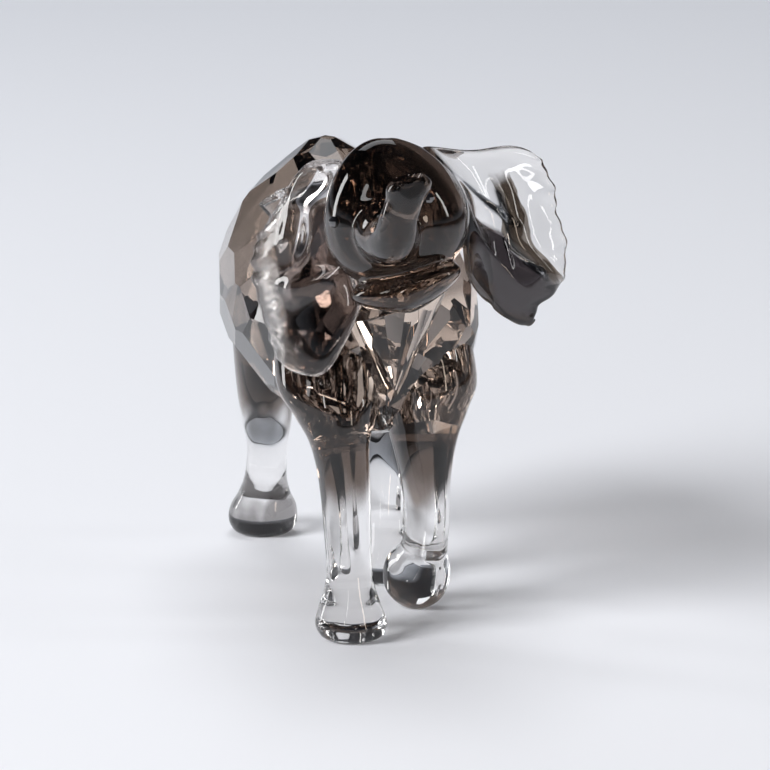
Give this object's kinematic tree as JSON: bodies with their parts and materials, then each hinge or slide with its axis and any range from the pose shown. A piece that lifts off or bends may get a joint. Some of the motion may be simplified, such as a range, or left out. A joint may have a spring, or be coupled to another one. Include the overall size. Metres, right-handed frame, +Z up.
{
  "type": "crystal elephant figurine",
  "caption": "Walking elephant of smoky and clear cut crystal, trunk raised and head turned, with a faceted body, waved ears, polished legs and black stone eyes",
  "frame": {"origin": "on the surface it stands on, under the middle of the figurine's bounding box", "axes": "the elephant walks towards -Y; +Z is up; +X is its left-hand side"},
  "size_m": [0.07, 0.1382, 0.1096],
  "materials": {
    "smoky_crystal": "polished, cut facets on the torso",
    "clear_crystal": "polished",
    "jet_stone": "faceted and polished",
    "adhesive_film": "clear cured film"
  },
  "bodies": {
    "root": {"bond_leg_front_left": "adhesive_film", "bond_leg_front_right": "adhesive_film", "bond_leg_rear_left": "adhesive_film", "bond_leg_rear_right": "adhesive_film", "bond_neck": "adhesive_film", "ear_left": "smoky_crystal", "ear_right": "smoky_crystal", "eye_left": "jet_stone", "eye_right": "jet_stone", "head": "smoky_crystal", "leg_front_left": "clear_crystal", "leg_front_right": "clear_crystal", "leg_rear_left": "clear_crystal", "leg_rear_right": "clear_crystal", "tail": "smoky_crystal", "torso": "smoky_crystal"}
  },
  "joints": []
}
